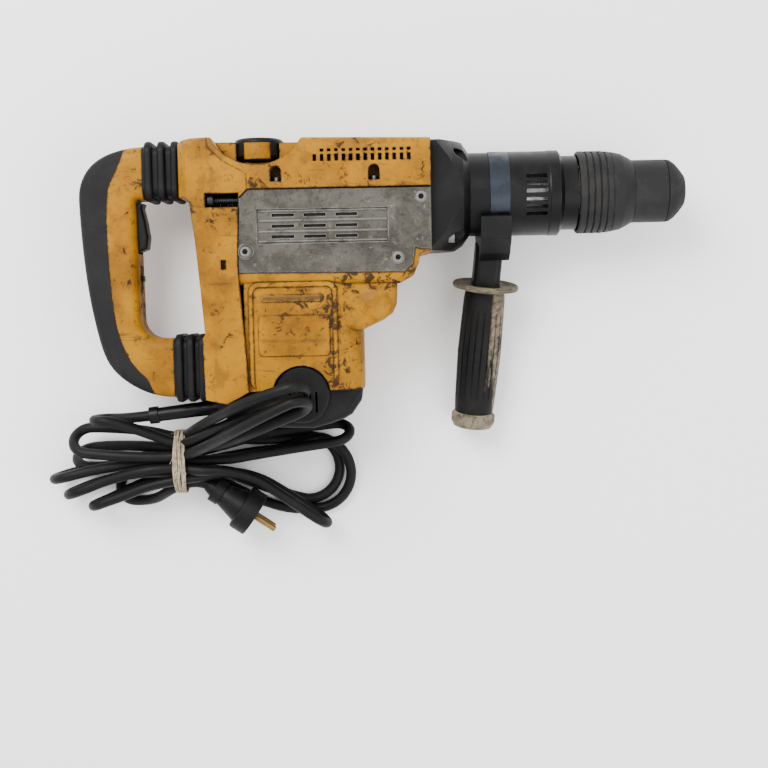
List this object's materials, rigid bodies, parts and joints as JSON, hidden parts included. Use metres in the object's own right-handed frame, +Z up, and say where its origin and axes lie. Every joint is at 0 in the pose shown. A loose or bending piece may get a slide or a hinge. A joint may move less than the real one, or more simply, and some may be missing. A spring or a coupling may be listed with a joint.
{
  "type": "demolition hammer",
  "caption": "Corded rotary demolition hammer with D-shaped rear handle, swivelling side handle, quick-release tool socket and a tied hank of mains lead, lying on its side.",
  "frame": {"origin": "middle of the bottom of the tool's own box, without the lead, on the floor the tool lies on", "axes": "+X along the spindle towards the nose, +Y the tool's own upward direction, +Z up from the floor, which is the tool's right side"},
  "size_m": [0.5071, 0.3139, 0.133],
  "materials": {
    "yellow_plastic": "worn satin",
    "cast_aluminium": "weathered cast",
    "black_plastic": "satin",
    "grip_rubber": "matt",
    "sleeve_plastic": "scuffed matt",
    "machined_steel": "turned and oiled",
    "strap_steel": "dark oxide",
    "screw_steel": "dull zinc",
    "spring_steel": "drawn",
    "lamination": "varnished laminations and windings",
    "khaki_plastic": "grimy",
    "amber_plastic": "worn",
    "module_plastic": "moulded",
    "cord_rubber": "matt",
    "plug_rubber": "matt",
    "pin_brass": "tarnished",
    "tie_band": "frayed bands"
  },
  "bodies": {
    "tool_body": {"gearbox_housing": "cast_aluminium", "right_side_cover": "cast_aluminium", "left_side_cover": "cast_aluminium", "cover_screws": "screw_steel", "top_cover": "yellow_plastic", "top_screws": "screw_steel", "rear_housing": "yellow_plastic", "channel_screws": "screw_steel", "motor_housing": "yellow_plastic", "end_cap": "black_plastic", "stator": "lamination", "shaft_bearings": "machined_steel", "brush_gear": "pin_brass", "tube_bearings": "machined_steel", "front_housing": "black_plastic", "housing_screws": "screw_steel", "barrel": "black_plastic", "shaft_seal": "grip_rubber", "electronics": "module_plastic", "strain_relief": "grip_rubber", "upper_bellows": "grip_rubber", "lower_bellows": "grip_rubber", "cord_tail": "cord_rubber", "cord_hank": "cord_rubber", "cord_tie": "tie_band", "plug_body": "plug_rubber", "plug_pins": "pin_brass"},
    "rear_handle": {"handle_right_shell": "yellow_plastic", "handle_left_shell": "yellow_plastic", "handle_overmold": "grip_rubber", "switch_module": "module_plastic", "trigger_spring": "spring_steel"},
    "trigger": {"trigger": "black_plastic"},
    "lock_slider": {"lock_slider": "black_plastic"},
    "selector": {"selector_knob": "black_plastic"},
    "selector_button": {"selector_button": "amber_plastic"},
    "spindle": {"hammer_tube": "machined_steel", "bevel_ring": "machined_steel", "tool_holder": "machined_steel", "lock_segments": "machined_steel", "nose_tube": "sleeve_plastic", "dust_cap": "grip_rubber", "sleeve_spring": "spring_steel"},
    "sleeve": {"locking_sleeve": "sleeve_plastic"},
    "piston": {"piston": "cast_aluminium", "connecting_rod": "machined_steel", "wrist_pin": "machined_steel"},
    "ram": {"ram": "machined_steel"},
    "beat_piece": {"beat_piece": "machined_steel"},
    "crank": {"crank_gear": "machined_steel"},
    "bevel_shaft": {"bevel_shaft": "machined_steel"},
    "armature": {"motor_shaft": "machined_steel", "armature": "lamination", "fan": "black_plastic"},
    "side_handle": {"side_handle_strap": "strap_steel", "side_handle_bracket": "black_plastic"},
    "side_grip": {"side_handle_flange": "khaki_plastic", "side_handle_grip": "grip_rubber", "side_handle_end_flange": "khaki_plastic", "side_handle_rod": "screw_steel"}
  },
  "joints": [
    {"name": "rear_handle_float", "type": "slide", "parent": "tool_body", "child": "rear_handle", "axis": [1, 0, 0], "range_m": [0, 0.004], "stiffness_N_per_m": 6000, "deforming": ["upper_bellows", "lower_bellows"]},
    {"name": "trigger_pull", "type": "slide", "parent": "rear_handle", "child": "trigger", "axis": [-1, 0, 0], "range_m": [0, 0.006], "stiffness_N_per_m": 900, "deforming": ["trigger_spring"]},
    {"name": "lock_slide", "type": "slide", "parent": "rear_handle", "child": "lock_slider", "axis": [0, 1, 0], "range_m": [0, 0.005]},
    {"name": "selector_turn", "type": "hinge", "parent": "tool_body", "child": "selector", "pos_m": [-0.09562, 0.10065, 0.052], "axis": [0, 1, 0], "range_deg": [0, 90]},
    {"name": "selector_press", "type": "slide", "parent": "selector", "child": "selector_button", "axis": [0, 0, -1], "range_m": [0, 0.003], "stiffness_N_per_m": 600},
    {"name": "spindle_spin", "type": "hinge", "parent": "tool_body", "child": "spindle", "pos_m": [0.09858, 0.07065, 0.052], "axis": [1, 0, 0], "continuous": true},
    {"name": "bevel_spin", "type": "hinge", "parent": "tool_body", "child": "bevel_shaft", "pos_m": [-0.03992, 0.02865, 0.052], "axis": [0, 1, 0], "continuous": true},
    {"name": "crank_spin", "type": "hinge", "parent": "tool_body", "child": "crank", "pos_m": [-0.08492, 0.02865, 0.052], "axis": [0, 1, 0], "continuous": true},
    {"name": "armature_spin", "type": "hinge", "parent": "tool_body", "child": "armature", "pos_m": [-0.06242, -0.02935, 0.052], "axis": [0, 1, 0], "continuous": true},
    {"name": "piston_stroke", "type": "slide", "parent": "tool_body", "child": "piston", "axis": [1, 0, 0], "range_m": [0, 0.022]},
    {"name": "ram_stroke", "type": "slide", "parent": "spindle", "child": "ram", "axis": [1, 0, 0], "range_m": [-0.014, 0]},
    {"name": "beat_stroke", "type": "slide", "parent": "spindle", "child": "beat_piece", "axis": [1, 0, 0], "range_m": [0, 0.005]},
    {"name": "sleeve_pull", "type": "slide", "parent": "spindle", "child": "sleeve", "axis": [-1, 0, 0], "range_m": [0, 0.0105], "stiffness_N_per_m": 1200, "deforming": ["sleeve_spring"]},
    {"name": "side_handle_swing", "type": "hinge", "parent": "tool_body", "child": "side_handle", "pos_m": [0.08958, 0.07065, 0.052], "axis": [1, 0, 0], "continuous": true},
    {"name": "grip_twist", "type": "hinge", "parent": "side_handle", "child": "side_grip", "pos_m": [0.08758, 0.07065, 0.052], "axis": [-0.0958, -0.9794, -0.178], "range_deg": [0, 360]}
  ],
  "couplings": [
    {"joint": "bevel_spin", "follows": "spindle_spin", "ratio": 3},
    {"joint": "crank_spin", "follows": "spindle_spin", "ratio": 3},
    {"joint": "armature_spin", "follows": "spindle_spin", "ratio": -12}
  ]
}
